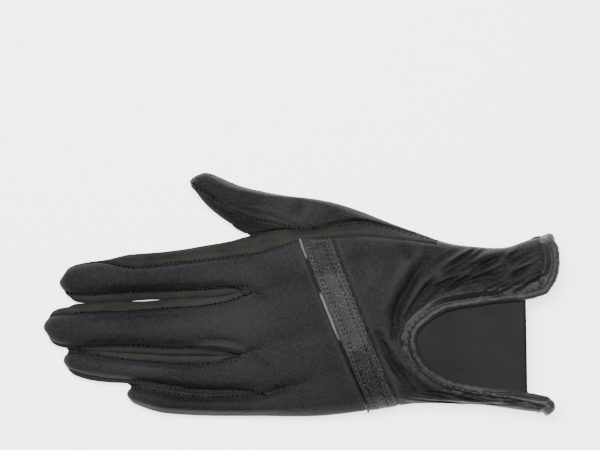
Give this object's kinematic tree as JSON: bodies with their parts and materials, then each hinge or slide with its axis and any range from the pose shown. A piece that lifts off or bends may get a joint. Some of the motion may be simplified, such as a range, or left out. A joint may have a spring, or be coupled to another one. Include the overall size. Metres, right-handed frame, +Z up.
{
  "type": "horse riding glove",
  "caption": "Left-hand riding glove of stretch satin and synthetic suede, with a leather band across the back and a U-shaped wrist vent over a flat insert.",
  "frame": {"origin": "middle of the glove's outline seen from above, on the surface that the palm lies on", "axes": "+X runs along the hand from the fingertips to the cuff, +Y points to the thumb side, +Z points up out of the back of the hand"},
  "size_m": [0.2272, 0.1082, 0.0288],
  "materials": {
    "satin": "dark stretch satin with a soft sheen",
    "suede": "olive grey synthetic suede, matt and brushed",
    "band_leather": "fine grained soft leather, slightly glossy",
    "piping": "thin shiny silver grey piping",
    "binding": "rolled synthetic suede binding, crinkled along its roll",
    "insert_cloth": "smooth dark stretch cloth"
  },
  "bodies": {
    "root": {"back_panel": "satin", "wrist_panel": "satin", "thumb_back": "satin", "leather_band": "band_leather", "band_piping": "piping", "radial_strip": "suede", "palm_panel": "suede", "fourchette_index_middle": "suede", "fourchette_middle_ring": "suede", "fourchette_ring_little": "suede", "thumb_palm": "suede", "wrist_insert": "insert_cloth", "cuff_binding": "binding"}
  },
  "joints": []
}
